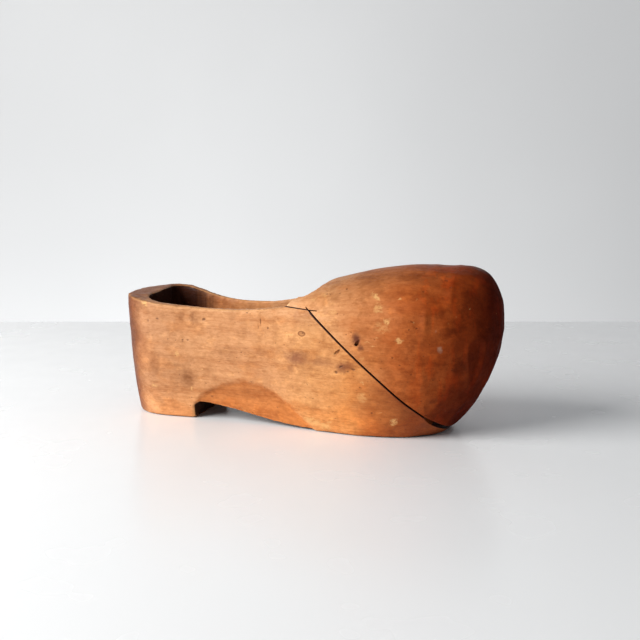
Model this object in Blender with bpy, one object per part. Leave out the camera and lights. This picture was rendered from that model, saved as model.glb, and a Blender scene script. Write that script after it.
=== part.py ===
"""A carved wooden clog: a lower body and a toe cap, parted by a saw cut and joined by small iron nails.

Blender units are metres, +Z is up and the toe points along +X. The origin is on the ground under the middle
of the clog. Lengthwise places are stations: distances forward from the back of the heel.
"""

import math

import bmesh
import bpy
import numpy as np
from mathutils import Matrix, Vector

MM = 0.001

LENGTH = 290 * MM
LATERAL = -1
MEDIAL = 1

# Ends of the blank: how far back from each end it starts to round off, and how full the rounding is.
HEEL_ROUND, HEEL_FULLNESS = 35 * MM, 2.2
TOE_ROUND, TOE_FULLNESS = 67 * MM, 2.1
TOE_TIP_HEIGHT = 81.2 * MM
TOE_TOP_ROUND, TOE_TOP_FULLNESS = 26 * MM, 2.3
TOE_SPRING_ROUND, TOE_SPRING_FULLNESS = 91 * MM, 1.9
BLANK_BOTTOM = -21.8 * MM
END_FLAT = 0.3 * MM
HEEL_LEAN, HEEL_LEAN_TOP, HEEL_LEAN_REACH = 7.5 * MM, 86.2 * MM, 70 * MM

# Underside: a heel block, a breast and an arch that runs down to the ball.
HEEL_BREAST = 64.5 * MM
ARCH_END = 148 * MM

# Throat: the rim's low part ends at the lip, and a square-ended opening runs on into the toe cap.
LIP = 139 * MM
LIP_SLOPE_END = 163 * MM
THROAT_BACK, THROAT_FRONT = 132 * MM, 161.5 * MM
THROAT_HALF_WIDTHS = {LATERAL: 31 * MM, MEDIAL: 28.5 * MM}
THROAT_SQUARENESS = 3.5
RIM_LEVEL_Y = 36.5 * MM

# Foot cavity.
CAVITY_BACK, CAVITY_FRONT = 20 * MM, 262 * MM
CAVITY_HEEL_ROUND = 24 * MM
CAVITY_HEEL_FULLNESS = {LATERAL: 3, MEDIAL: 7}
CAVITY_TOE_ROUND = 60 * MM
CAVITY_TIP_HEIGHT = 59.2 * MM
CAVITY_BELLY = 62.2 * MM
CAVITY_END_ROUND = 48 * MM
OPEN_TOP = 131 * MM

# Saw cuts between the two pieces, as lines in the XZ plane. The near level one climbs a little to the heel.
CUT_HEIGHT = 88.7 * MM
CUT_CORNER = 159 * MM
CUT_CLIMB = math.radians(3.5)
CUT_SLOPE = math.radians(40.5)
LIP_GAP = 0.4 * MM
KERF = 1.1 * MM
TOE_GAP = 3.2 * MM
TOE_GAP_START, TOE_GAP_FULL = 242 * MM, 247 * MM
OVERCUT_LEVEL, OVERCUT_SLOPE = 6 * MM, 4 * MM
OVERCUT_START = 2 * MM
OVERCUT_TAPER = 0.2 * MM

# How far cutters reach past the clog.
CUTTER_MARGIN = 20 * MM
CUTTER_BELOW = -60 * MM
CUTTER_HALF_DEPTH = 80 * MM

# Nails. Those across the sloping cut are placed by a station, a height and an angle to the side of the clog.
CAP_NAIL = {"station": 197 * MM, "height": 69.2 * MM, "angle": math.radians(28), "length": 16 * MM}
BODY_NAIL = {"station": 181 * MM, "height": 60.2 * MM, "angle": math.radians(23), "length": 18 * MM}
SEAM_NAIL_SUNK = 3.2 * MM
TOE_NAIL_STATION, TOE_NAIL_Y, TOE_NAIL_LENGTH, TOE_NAIL_SUNK = 246.3 * MM, 15.7 * MM, 24 * MM, 1.5 * MM
SHANK_RADIUS = 0.8 * MM
HEAD_RADIUS = 1.15 * MM
HEAD_THICKNESS = 0.8 * MM
POINT_LENGTH = 3 * MM
POINT_RADIUS = 0.3 * MM
CLEARANCE = 0.3 * MM
POCKET_DEPTH = 12 * MM
NAIL_SIDES = 12

BLANK_STATIONS, BLANK_SIDES = 56, 44
CAVITY_STATIONS, CAVITY_SIDES = 40, 32
PROFILE_STEPS, SLOPE_STEPS = 24, 10
THROAT_STEPS = 15


def curve(*points):
    """A smooth curve through (station, value) points given in millimetres, with no overshoot between them."""
    stations = np.array([point[0] for point in points]) * MM
    values = np.array([point[1] for point in points]) * MM
    steps = np.diff(stations)
    slopes = np.diff(values) / steps
    tangents = np.zeros(len(points))
    tangents[0], tangents[-1] = slopes[0], slopes[-1]
    for i in range(1, len(points) - 1):
        if slopes[i - 1] * slopes[i] > 0:
            before = 2 * steps[i] + steps[i - 1]
            after = steps[i] + 2 * steps[i - 1]
            tangents[i] = (before + after) / (before / slopes[i - 1] + after / slopes[i])

    def value(station):
        station = np.clip(station, stations[0], stations[-1])
        i = np.clip(np.searchsorted(stations, station) - 1, 0, len(steps) - 1)
        t = (station - stations[i]) / steps[i]
        start = (2 * t**3 - 3 * t**2 + 1) * values[i] + (t**3 - 2 * t**2 + t) * steps[i] * tangents[i]
        end = (3 * t**2 - 2 * t**3) * values[i + 1] + (t**3 - t**2) * steps[i] * tangents[i + 1]
        return start + end

    return value


# Outer shape along the length: half widths, heights of the rim and the vamp's ridge, and the widest level.
half_width = {
    LATERAL: curve((0, 37), (40, 38), (80, 36), (120, 38), (160, 44.5), (200, 48.5), (225, 48.5), (290, 46)),
    MEDIAL: curve((0, 38), (40, 38), (80, 35), (120, 36), (160, 41.5), (200, 47), (225, 48.5), (290, 46.5)),
}
LIP_SLOPE = (
    (141, 92.3), (143, 94.7), (145.5, 96.6), (149, 98.4), (152, 99.6), (156, 101), (159, 102.5), (163, 105.5)
)
LATERAL_RIM = (
    (0, 91.2), (18, 89.8), (40, 87.3), (64, 86), (84, 85.4), (96, 85.5), (116, 86.8), (131, 88.6), (139, 89.8)
)
MEDIAL_RIM = (
    (0, 91.7), (18, 92.6), (30, 91.8), (45, 88), (60, 84.2), (75, 82.2), (90, 81.7), (105, 82.2), (120, 84.7),
    (139, 89.6)
)
rim_height = {LATERAL: curve(*LATERAL_RIM, *LIP_SLOPE), MEDIAL: curve(*MEDIAL_RIM, *LIP_SLOPE)}
ridge_height = curve(
    (0, 98.2), (130, 96.7), (140, 99.2), (170, 108.2), (200, 115.7), (230, 119.5), (260, 119.7), (290, 118.2)
)
belly_height = curve((0, 81.2), (100, 79.2), (150, 68.2), (200, 65.2), (290, 65.2))
arch_height = curve((64.5, 12.3), (80, 10.7), (104, 6.5), (121, 3), (138, 0.9), (148, 0))
# Squareness of the outer section above and below its widest level, scaled by 1000 because curve works in mm.
squareness_above = curve((0, 8000), (110, 7000), (130, 4000), (160, 2800), (200, 2300), (290, 2100))
squareness_below = curve((0, 3400), (200, 3000), (240, 2400), (290, 2100))

# Cavity along the length.
wall = curve((0, 7), (80, 6.5), (120, 7.5), (160, 9.5), (262, 11))
floor_height = curve((0, 28), (70, 27), (120, 26), (160, 22), (205, 21), (262, 22))
ceiling_height = curve((139, 92), (170, 99), (200, 105), (235, 107), (262, 105))


def rounding(station, start, end, fullness):
    """1 up to start, then falling to 0 at end along a quarter of a superellipse."""
    u = np.clip((station - start) / (end - start), 0, 1)
    return (1 - u**fullness) ** (1 / fullness)


def blank_section(station):
    """Half widths, top, belly, bottom and the two squareness values of the outer section at a station."""
    back = -END_FLAT
    front = LENGTH + END_FLAT
    plan = rounding(-station, -HEEL_ROUND, -back, HEEL_FULLNESS)
    plan = plan * rounding(station, LENGTH - TOE_ROUND, front, TOE_FULLNESS)
    above = rounding(station, LENGTH - TOE_TOP_ROUND, front, TOE_TOP_FULLNESS)
    below = rounding(station, LENGTH - TOE_SPRING_ROUND, front, TOE_SPRING_FULLNESS)
    widths = {side: half_width[side](station) * plan for side in (LATERAL, MEDIAL)}
    top = TOE_TIP_HEIGHT + (ridge_height(station) - TOE_TIP_HEIGHT) * above
    belly = TOE_TIP_HEIGHT + (belly_height(station) - TOE_TIP_HEIGHT) * below
    bottom = TOE_TIP_HEIGHT + (BLANK_BOTTOM - TOE_TIP_HEIGHT) * below
    return widths, top, belly, bottom, squareness_above(station), squareness_below(station)


def cavity_section(station):
    """The same six values for the hollow. Behind the lip its sides run straight up through the open top."""
    back, front = -CAVITY_BACK, CAVITY_FRONT + END_FLAT
    toe = rounding(station, CAVITY_FRONT - CAVITY_TOE_ROUND, front, TOE_FULLNESS)
    widths = {}
    for side in (LATERAL, MEDIAL):
        heel = rounding(-station, back - CAVITY_HEEL_ROUND, back + END_FLAT, CAVITY_HEEL_FULLNESS[side])
        widths[side] = (half_width[side](station) - wall(station)) * heel * toe
    end = rounding(station, CAVITY_FRONT - CAVITY_END_ROUND, front, 2)
    bottom = CAVITY_TIP_HEIGHT + (floor_height(station) - CAVITY_TIP_HEIGHT) * end
    belly = CAVITY_TIP_HEIGHT + (CAVITY_BELLY - CAVITY_TIP_HEIGHT) * end
    if station < LIP:
        return widths, OPEN_TOP, belly, bottom, 12, 2.8
    top = CAVITY_TIP_HEIGHT + (ceiling_height(station) - CAVITY_TIP_HEIGHT) * end
    return widths, top, belly, bottom, 2.6, 2.8


def heel_lean(station, height):
    """How far forward the back of the heel stands at a height: its top overhangs its foot."""
    drop = np.clip((HEEL_LEAN_TOP - height) / HEEL_LEAN_TOP, 0, 1.3)
    return HEEL_LEAN * drop**1.6 * np.clip(1 - station / HEEL_LEAN_REACH, 0, 1)


def section_ring(station, section, sides):
    """Points round a section whose quarters are superellipses."""
    widths, top, belly, bottom, above, below = section
    ring = []
    for i in range(sides):
        angle = math.tau * i / sides
        across, up = math.cos(angle), math.sin(angle)
        square = above if up >= 0 else below
        width = widths[MEDIAL] if across >= 0 else widths[LATERAL]
        height = top - belly if up >= 0 else belly - bottom
        y = math.copysign(abs(across) ** (2 / square), across) * width
        z = belly + math.copysign(abs(up) ** (2 / square), up) * height
        ring.append(Vector((station + heel_lean(station, z) - LENGTH / 2, y, z)))
    return ring


def outer_half_width(station, height, side):
    """Distance from the middle plane to the outer surface at a station and a height."""
    widths, top, belly, bottom, above, below = blank_section(station)
    if height >= belly:
        ratio, square = (height - belly) / (top - belly), above
    else:
        ratio, square = (belly - height) / (belly - bottom), below
    return widths[side] * (1 - ratio**square) ** (1 / square)


def eased(start, end, count):
    """Numbers from start to end that crowd together near both ends."""
    return [start + (end - start) * (1 - math.cos(math.pi * i / (count - 1))) / 2 for i in range(count)]


def material(name, colour, roughness, metallic=0.0):
    made = bpy.data.materials.new(name)
    made.use_nodes = True
    shader = made.node_tree.nodes["Principled BSDF"]
    shader.inputs["Base Color"].default_value = (*colour, 1)
    shader.inputs["Roughness"].default_value = roughness
    shader.inputs["Metallic"].default_value = metallic
    return made


def add_object(name, mesh_data):
    """An object holding the bmesh, with its faces turned outward. The bmesh is freed."""
    bmesh.ops.recalc_face_normals(mesh_data, faces=mesh_data.faces)
    mesh = bpy.data.meshes.new(name)
    mesh_data.to_mesh(mesh)
    mesh_data.free()
    mesh.shade_smooth()
    mesh.set_sharp_from_angle(angle=math.radians(35))
    obj = bpy.data.objects.new(name, mesh)
    bpy.context.scene.collection.objects.link(obj)
    return obj


def loft(name, rings):
    """A closed solid through rings of points, with a flat face at each end."""
    mesh_data = bmesh.new()
    loops = [[mesh_data.verts.new(point) for point in ring] for ring in rings]
    for near, far in zip(loops, loops[1:]):
        for i in range(len(near)):
            j = (i + 1) % len(near)
            mesh_data.faces.new((near[i], near[j], far[j], far[i]))
    mesh_data.faces.new(loops[0])
    mesh_data.faces.new(loops[-1])
    return add_object(name, mesh_data)


def side_prism(name, outline, far_outline=None):
    """A solid across the clog, from one outline of (station, height) points or from one at each side."""
    rings = []
    for y, points in ((-CUTTER_HALF_DEPTH, outline), (CUTTER_HALF_DEPTH, far_outline or outline)):
        rings.append([Vector((station - LENGTH / 2, y, height)) for station, height in points])
    return loft(name, rings)


def hide_cutter(cutter):
    cutter.hide_render = True
    cutter.display_type = "WIRE"


def apply_boolean(target, cutter, operation):
    """Cuts or joins for good, so that later cuts start from a plain mesh."""
    hide_cutter(cutter)
    modifier = target.modifiers.new(cutter.name, "BOOLEAN")
    modifier.operation = operation
    modifier.solver = "EXACT"
    modifier.object = cutter
    graph = bpy.context.evaluated_depsgraph_get()
    shaped = bpy.data.meshes.new_from_object(target.evaluated_get(graph))
    target.modifiers.clear()
    target.data = shaped


def solid_clog():
    """The carved outer shape: flat heel and ball, raised arch and scooped rim, still without its hollow."""
    stations = eased(0, LENGTH, BLANK_STATIONS)
    clog = loft("clog_blank", [section_ring(s, blank_section(s), BLANK_SIDES) for s in stations])
    apply_boolean(clog, side_prism("underside_cutter", underside_outline()), "DIFFERENCE")
    rim_cutter = side_prism("rim_cutter", rim_outline(-CUTTER_HALF_DEPTH), rim_outline(CUTTER_HALF_DEPTH))
    apply_boolean(clog, rim_cutter, "DIFFERENCE")
    return clog


def underside_outline():
    outline = [(-CUTTER_MARGIN, CUTTER_BELOW), (-CUTTER_MARGIN, 0), (HEEL_BREAST, 0)]
    for i in range(PROFILE_STEPS + 1):
        station = HEEL_BREAST + (ARCH_END - HEEL_BREAST) * i / PROFILE_STEPS
        outline.append((station, float(arch_height(station))))
    outline += [(LENGTH + CUTTER_MARGIN, 0), (LENGTH + CUTTER_MARGIN, CUTTER_BELOW)]
    return outline


def rim_outline(y):
    """The region above the rim and the lip's slope, in the upright plane at y. The rim tilts sideways."""
    share = (y / RIM_LEVEL_Y + 1) / 2

    def height(station):
        return float(rim_height[LATERAL](station) * (1 - share) + rim_height[MEDIAL](station) * share)

    outline = [(-CUTTER_MARGIN, OPEN_TOP), (-CUTTER_MARGIN, height(0))]
    for i in range(1, PROFILE_STEPS + 1):
        station = LIP * i / PROFILE_STEPS
        outline.append((station, height(station)))
    for i in range(1, SLOPE_STEPS + 1):
        station = LIP + (LIP_SLOPE_END - LIP) * i / SLOPE_STEPS
        outline.append((station, height(station)))
    outline.append((LIP_SLOPE_END, OPEN_TOP))
    return outline


def cavity_cutter():
    behind = eased(CAVITY_BACK, LIP - END_FLAT, CAVITY_STATIONS // 2)
    ahead = eased(LIP, CAVITY_FRONT, CAVITY_STATIONS // 2)
    rings = [section_ring(s, cavity_section(s), CAVITY_SIDES) for s in behind + ahead]
    return loft("cavity_cutter", rings)


def throat_side(side):
    """Half the throat's outline as (station, y) points, from its back corner to just short of its front."""
    half = [(THROAT_BACK, side * THROAT_HALF_WIDTHS[side])]
    for i in range(THROAT_STEPS):
        angle = math.pi / 2 * i / THROAT_STEPS
        ahead = math.sin(angle) ** (2 / THROAT_SQUARENESS) * (THROAT_FRONT - LIP)
        across = math.cos(angle) ** (2 / THROAT_SQUARENESS) * THROAT_HALF_WIDTHS[side]
        half.append((LIP + ahead, side * across))
    return half


def throat_cutter():
    """An upright prism that carries the opening forward into the cap, square behind and rounded in front."""
    outline = throat_side(LATERAL) + [(THROAT_FRONT, 0)] + throat_side(MEDIAL)[::-1]
    rings = []
    for height in (CAVITY_BELLY, OPEN_TOP):
        rings.append([Vector((station - LENGTH / 2, y, height)) for station, y in outline])
    return loft("throat_cutter", rings)


def level_cut(station):
    """Height of the near level saw cut."""
    return CUT_HEIGHT + (CUT_CORNER - station) * math.tan(CUT_CLIMB)


def slope_point(station, gap):
    """A point on the sloping cut, moved square to it by a gap toward the sole."""
    height = CUT_HEIGHT - (station - CUT_CORNER) * math.tan(CUT_SLOPE)
    return station - gap * math.sin(CUT_SLOPE), height - gap * math.cos(CUT_SLOPE)


def cap_outline():
    """All that lies above both saw cuts: the region the toe cap is kept from."""
    near, far = LIP - CUTTER_MARGIN, LENGTH + CUTTER_MARGIN
    return [
        (near, level_cut(near) + LIP_GAP),
        (CUT_CORNER, CUT_HEIGHT + LIP_GAP),
        slope_point(far, 0),
        (far, OPEN_TOP + CUTTER_MARGIN),
        (near, OPEN_TOP + CUTTER_MARGIN),
    ]


def body_cut_outline():
    """The same region grown by the width of the cuts, which opens into a gap under the toe."""
    near, far = LIP - CUTTER_MARGIN, LENGTH + CUTTER_MARGIN
    return [
        (near, level_cut(near)),
        (CUT_CORNER - KERF, level_cut(CUT_CORNER - KERF)),
        slope_point(TOE_GAP_START, KERF),
        slope_point(TOE_GAP_FULL, TOE_GAP),
        slope_point(far, TOE_GAP),
        (far, OPEN_TOP + CUTTER_MARGIN),
        (near, OPEN_TOP + CUTTER_MARGIN),
    ]


def overcut_cutters():
    """The ends of the two saw cuts where they run past their corner into the cap."""
    level = [
        (CUT_CORNER - OVERCUT_START, CUT_HEIGHT - LIP_GAP),
        (CUT_CORNER + OVERCUT_LEVEL, CUT_HEIGHT - LIP_GAP / 2),
        (CUT_CORNER + OVERCUT_LEVEL, CUT_HEIGHT + LIP_GAP),
        (CUT_CORNER - OVERCUT_START, CUT_HEIGHT + LIP_GAP * 1.5),
    ]
    top = CUT_CORNER - OVERCUT_SLOPE * math.cos(CUT_SLOPE)
    slope = [
        slope_point(CUT_CORNER + OVERCUT_START, KERF),
        slope_point(CUT_CORNER + OVERCUT_START, -OVERCUT_TAPER),
        slope_point(top, OVERCUT_TAPER),
        slope_point(top, KERF - OVERCUT_TAPER),
    ]
    return side_prism("level_overcut", level), side_prism("slope_overcut", slope)


def frame_along(direction, start):
    """A placement whose +Z runs along a direction."""
    return Matrix.Translation(start) @ direction.to_track_quat("Z", "Y").to_matrix().to_4x4()


def turned(name, profile, placement):
    """A solid turned round its own Z axis from (radius, height) points, the first and last on the axis."""
    mesh_data = bmesh.new()
    first = mesh_data.verts.new(placement @ Vector((0, 0, profile[0][1])))
    last = mesh_data.verts.new(placement @ Vector((0, 0, profile[-1][1])))
    loops = []
    for radius, height in profile[1:-1]:
        loop = []
        for i in range(NAIL_SIDES):
            angle = math.tau * i / NAIL_SIDES
            point = Vector((radius * math.cos(angle), radius * math.sin(angle), height))
            loop.append(mesh_data.verts.new(placement @ point))
        loops.append(loop)
    for i in range(NAIL_SIDES):
        j = (i + 1) % NAIL_SIDES
        mesh_data.faces.new((first, loops[0][i], loops[0][j]))
        mesh_data.faces.new((last, loops[-1][j], loops[-1][i]))
        for near, far in zip(loops, loops[1:]):
            mesh_data.faces.new((near[i], far[i], far[j], near[j]))
    return add_object(name, mesh_data)


def nail_profile(length, clearance=0.0, pocket=0.0):
    """Radius and depth from the outer face of the head to the point. A pocket reaches out past the head."""
    head = HEAD_RADIUS + clearance
    shank = SHANK_RADIUS + clearance
    shoulder = HEAD_THICKNESS + clearance
    tip = length + clearance
    return [
        (0, -pocket),
        (head, -pocket),
        (head, shoulder),
        (shank, shoulder),
        (shank, tip - POINT_LENGTH),
        (POINT_RADIUS + clearance, tip),
        (0, tip),
    ]


def nail_places():
    """Each nail's name, where it enters the surface, its direction, its length and how deep its head sits."""
    up = Vector((0, 0, 1))
    across_cut = Vector((math.sin(CUT_SLOPE), 0, math.cos(CUT_SLOPE)))
    places = []
    for side, word in ((LATERAL, "lateral"), (MEDIAL, "medial")):
        places.append((f"nail_cap_{word}", *seam_nail(CAP_NAIL, side, -across_cut)))
        places.append((f"nail_body_{word}", *seam_nail(BODY_NAIL, side, across_cut)))
        under = Vector((TOE_NAIL_STATION - LENGTH / 2, side * TOE_NAIL_Y, 0))
        places.append((f"nail_toe_{word}", under, up, TOE_NAIL_LENGTH, TOE_NAIL_SUNK))
    return places


def seam_nail(nail, side, across_cut):
    """The place of a nail driven into the side of the clog and on across the sloping cut."""
    station, height = nail["station"], nail["height"]
    inward = Vector((0, -side, 0))
    direction = across_cut * math.cos(nail["angle"]) + inward * math.sin(nail["angle"])
    start = Vector((station - LENGTH / 2, side * outer_half_width(station, height, side), height))
    return start, direction.normalized(), nail["length"], SEAM_NAIL_SUNK


def build():
    for obj in list(bpy.data.objects):
        bpy.data.objects.remove(obj)
    pale_wood = material("pale_wood", (0.62, 0.33, 0.15), 0.55)
    toe_wood = material("toe_wood", (0.38, 0.14, 0.055), 0.5)
    iron = material("nail_iron", (0.06, 0.035, 0.03), 0.7, 0.8)

    body = solid_clog()
    apply_boolean(body, cavity_cutter(), "DIFFERENCE")
    apply_boolean(body, throat_cutter(), "DIFFERENCE")
    body.name = "lower_body"
    cap = body.copy()
    cap.data = body.data.copy()
    cap.name = "upper_toe"
    bpy.context.scene.collection.objects.link(cap)
    apply_boolean(body, side_prism("body_saw_cutter", body_cut_outline()), "DIFFERENCE")
    apply_boolean(cap, side_prism("cap_keeper", cap_outline()), "INTERSECT")
    for cutter in overcut_cutters():
        apply_boolean(cap, cutter, "DIFFERENCE")

    for name, start, direction, length, sunk in nail_places():
        placement = frame_along(direction, start + direction * sunk)
        nail = turned(name, nail_profile(length), placement)
        nail.data.materials.append(iron)
        hole = turned(f"{name}_hole", nail_profile(length, CLEARANCE, POCKET_DEPTH), placement)
        for piece in (body, cap):
            apply_boolean(piece, hole, "DIFFERENCE")

    for piece, wood in ((body, pale_wood), (cap, toe_wood)):
        piece.data.materials.clear()
        piece.data.materials.append(wood)


build()
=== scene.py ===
import math

import bmesh
import bpy
import numpy as np
from mathutils import Matrix, Vector


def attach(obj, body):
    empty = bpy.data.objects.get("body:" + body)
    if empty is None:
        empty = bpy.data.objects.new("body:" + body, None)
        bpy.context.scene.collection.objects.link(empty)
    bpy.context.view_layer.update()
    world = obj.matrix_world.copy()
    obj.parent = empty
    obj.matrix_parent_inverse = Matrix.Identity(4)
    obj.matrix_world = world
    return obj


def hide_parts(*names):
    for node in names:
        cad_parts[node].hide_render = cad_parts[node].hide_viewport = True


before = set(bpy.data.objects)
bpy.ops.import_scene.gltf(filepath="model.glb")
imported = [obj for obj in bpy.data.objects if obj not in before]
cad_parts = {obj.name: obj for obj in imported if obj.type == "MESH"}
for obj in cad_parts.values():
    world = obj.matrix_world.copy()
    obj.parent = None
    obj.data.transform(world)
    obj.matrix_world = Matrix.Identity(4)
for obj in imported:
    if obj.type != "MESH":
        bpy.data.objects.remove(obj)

# A worn wooden clog: two carved pieces parted by a saw cut and nailed together. Units are metres, +Z up and
# the toe along +X. A station is a distance forward from the back of the heel, as in the CAD model. Noise
# cells, marks and materials are in millimetres.

MM = 0.001
LENGTH = 290 * MM
LATERAL, MEDIAL = -1, 1
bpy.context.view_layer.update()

# Outer shape, repeated from the CAD model.
HEEL_ROUND, HEEL_FULLNESS = 35 * MM, 2.2
TOE_ROUND, TOE_FULLNESS = 67 * MM, 2.1
TOE_TIP_HEIGHT = 81.2 * MM
TOE_TOP_ROUND, TOE_TOP_FULLNESS = 26 * MM, 2.3
TOE_SPRING_ROUND, TOE_SPRING_FULLNESS = 91 * MM, 1.9
BLANK_BOTTOM = -21.8 * MM
END_FLAT = 0.3 * MM
HEEL_LEAN, HEEL_LEAN_TOP, HEEL_LEAN_REACH = 7.5 * MM, 86.2 * MM, 70 * MM
HEEL_BREAST = 64.5 * MM
ARCH_END = 148 * MM
LIP, LIP_SLOPE_END = 139 * MM, 163 * MM
THROAT_BACK, THROAT_FRONT = 132 * MM, 161.5 * MM
THROAT_HALF_WIDTHS = {LATERAL: 31 * MM, MEDIAL: 28.5 * MM}
THROAT_SQUARENESS = 3.5
RIM_LEVEL_Y = 36.5 * MM

CAVITY_BACK, CAVITY_FRONT = 20 * MM, 262 * MM
CAVITY_HEEL_ROUND = 24 * MM
CAVITY_HEEL_FULLNESS = {LATERAL: 3, MEDIAL: 7}
CAVITY_TOE_ROUND = 60 * MM
CAVITY_TIP_HEIGHT = 59.2 * MM
CAVITY_BELLY = 62.2 * MM
CAVITY_END_ROUND = 48 * MM
OPEN_TOP = 131 * MM
OPEN_SQUARENESS, CEILING_SQUARENESS, FLOOR_SQUARENESS = 12.0, 2.6, 2.8

CUT_HEIGHT = 88.7 * MM
CUT_CORNER = 159 * MM
CUT_CLIMB = math.radians(3.5)
CUT_SLOPE = math.radians(40.5)
LIP_GAP = 0.4 * MM
KERF = 1.1 * MM
TOE_GAP = 3.2 * MM
TOE_GAP_START, TOE_GAP_FULL = 242 * MM, 247 * MM
OVERCUT_LEVEL, OVERCUT_SLOPE, OVERCUT_START, OVERCUT_TAPER = 6 * MM, 4 * MM, 2 * MM, 0.2 * MM

MARGIN, SAW_LOW, SAW_REACH = 20 * MM, -60 * MM, 80 * MM
SAW_NEAR, SAW_FAR, SAW_TOP = LIP - MARGIN, LENGTH + MARGIN, OPEN_TOP + MARGIN

# Nails, at the places of the CAD nails.
CAP_NAIL = {"station": 197 * MM, "height": 69.2 * MM, "angle": math.radians(28), "length": 16 * MM}
BODY_NAIL = {"station": 181 * MM, "height": 60.2 * MM, "angle": math.radians(23), "length": 18 * MM}
SEAM_NAIL_SUNK = 3.2 * MM
TOE_NAIL_STATION, TOE_NAIL_Y, TOE_NAIL_LENGTH, TOE_NAIL_SUNK = 246.3 * MM, 15.7 * MM, 24 * MM, 1.5 * MM
SHANK_RADIUS = 0.8 * MM
HEAD_RADIUS = 1.15 * MM
HEAD_THICKNESS = 0.8 * MM
POINT_LENGTH, POINT_RADIUS = 3 * MM, 0.3 * MM
CLEARANCE = 0.3 * MM
POCKET_DEPTH = 12 * MM
NAIL_SIDES, HOLE_SIDES, SHANK_STEPS, POINT_STEPS = 24, 28, 24, 8
# Depths down the head in millimetres, the last one just below it, and shares of its radius at the others.
HEAD_DEPTHS, HEAD_SHARES = (0, 0.06, 0.2, 0.45, 0.625, 0.8, 0.95), (0.3, 0.72, 0.93, 0.99, 0.97, 0.9)
SHANK_START, SHANK_TAPER, SHANK_SQUARENESS = 1.4 * MM, 0.86, 0.76
NAIL_DENT_CELL, NAIL_DENT = 0.9, 0.05 * MM

# The hollow scooped out of each flank above the arch: its top edge is a parabola along the clog.
SCOOP_MIDDLE, SCOOP_TOP, SCOOP_BEND = 107 * MM, 33.2 * MM, 10.7
SCOOP_DEPTH, SCOOP_EASE = 1.4 * MM, 5 * MM

# Mesh size, and how far the carved edges are rounded.
BLANK_STATIONS, BLANK_SIDES = 200, 160
CAVITY_STATIONS, CAVITY_SIDES = 70, 120
VOXEL = 1.1 * MM
EDGE_ROUNDS = 3
SHARP_ANGLE = math.radians(40)

# Marks of the tools and of wear: the size of the noise that makes them, in millimetres along X, Y and Z.
WAVE_CELL = (38, 13, 13)
KNIFE_CELL = (34, 12, 15)
FACET_CELL = (15, 15, 21)
GOUGE_CELL = (8, 20, 34)
DENT_CELL = (7, 4, 4)
CHIP_CELL = (6, 5, 5)
# Their depths, also in millimetres. The toe is whittled in facets, and gouges furrow the hollow.
WAVE_DEPTH, KNIFE_DEPTH, DENT_DEPTH, CHIP_DEPTH = 0.20, 0.35, 0.06, 0.45
FACET_RISE, FACET_DEPTH = 0.35, 1.5
GOUGE_RISE, GOUGE_DEPTH = 0.3, 0.9
FACET_START, FACET_FULL = 222 * MM, 250 * MM


def curve(*points):
    """A smooth curve through (station, value) points in millimetres, with no overshoot between them."""
    stations = np.array([point[0] for point in points]) * MM
    values = np.array([point[1] for point in points]) * MM
    steps = np.diff(stations)
    slopes = np.diff(values) / steps
    tangents = np.zeros(len(points))
    tangents[0], tangents[-1] = slopes[0], slopes[-1]
    for i in range(1, len(points) - 1):
        if slopes[i - 1] * slopes[i] > 0:
            before = 2 * steps[i] + steps[i - 1]
            after = steps[i] + 2 * steps[i - 1]
            tangents[i] = (before + after) / (before / slopes[i - 1] + after / slopes[i])

    def value(station):
        station = np.clip(station, stations[0], stations[-1])
        i = np.clip(np.searchsorted(stations, station) - 1, 0, len(steps) - 1)
        t = (station - stations[i]) / steps[i]
        start = (2 * t**3 - 3 * t**2 + 1) * values[i]
        start = start + (t**3 - 2 * t**2 + t) * steps[i] * tangents[i]
        end = (3 * t**2 - 2 * t**3) * values[i + 1] + (t**3 - t**2) * steps[i] * tangents[i + 1]
        return start + end

    return value


LIP_SLOPE = (
    (141, 92.3), (143, 94.7), (145.5, 96.6), (149, 98.4),
    (152, 99.6), (156, 101), (159, 102.5), (163, 105.5)
)
LATERAL_RIM = (
    (0, 91.2), (18, 89.8), (40, 87.3), (64, 86), (84, 85.4),
    (96, 85.5), (116, 86.8), (131, 88.6), (139, 89.8)
)
MEDIAL_RIM = (
    (0, 91.7), (18, 92.6), (30, 91.8), (45, 88), (60, 84.2),
    (75, 82.2), (90, 81.7), (105, 82.2), (120, 84.7), (139, 89.6)
)
lateral_width = curve(
    (0, 37), (40, 38), (80, 36), (120, 38), (160, 44.5), (200, 48.5), (225, 48.5), (290, 46)
)
medial_width = curve(
    (0, 38), (40, 38), (80, 35), (120, 36), (160, 41.5), (200, 47), (225, 48.5), (290, 46.5)
)
rim_height = {LATERAL: curve(*LATERAL_RIM, *LIP_SLOPE), MEDIAL: curve(*MEDIAL_RIM, *LIP_SLOPE)}
ridge_height = curve(
    (0, 98.2), (130, 96.7), (140, 99.2), (170, 108.2),
    (200, 115.7), (230, 119.5), (260, 119.7), (290, 118.2)
)
belly_height = curve((0, 81.2), (100, 79.2), (150, 68.2), (200, 65.2), (290, 65.2))
arch_height = curve((64.5, 12.3), (80, 10.7), (104, 6.5), (121, 3), (138, 0.9), (148, 0))
# Squareness of the outer section, scaled by 1000 because curve works in millimetres.
squareness_above = curve((0, 8000), (110, 7000), (130, 4000), (160, 2800), (200, 2300), (290, 2100))
squareness_below = curve((0, 3400), (200, 3000), (240, 2400), (290, 2100))
wall = curve((0, 7), (80, 6.5), (120, 7.5), (160, 9.5), (262, 11))
floor_height = curve((0, 28), (70, 27), (120, 26), (160, 22), (205, 21), (262, 22))
ceiling_height = curve((139, 92), (170, 99), (200, 105), (235, 107), (262, 105))


def rounding(station, start, end, fullness):
    """1 up to start, then falling to 0 at end along a quarter of a superellipse."""
    u = np.clip((station - start) / (end - start), 0, 1)
    return (1 - u**fullness) ** (1 / fullness)


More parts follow.
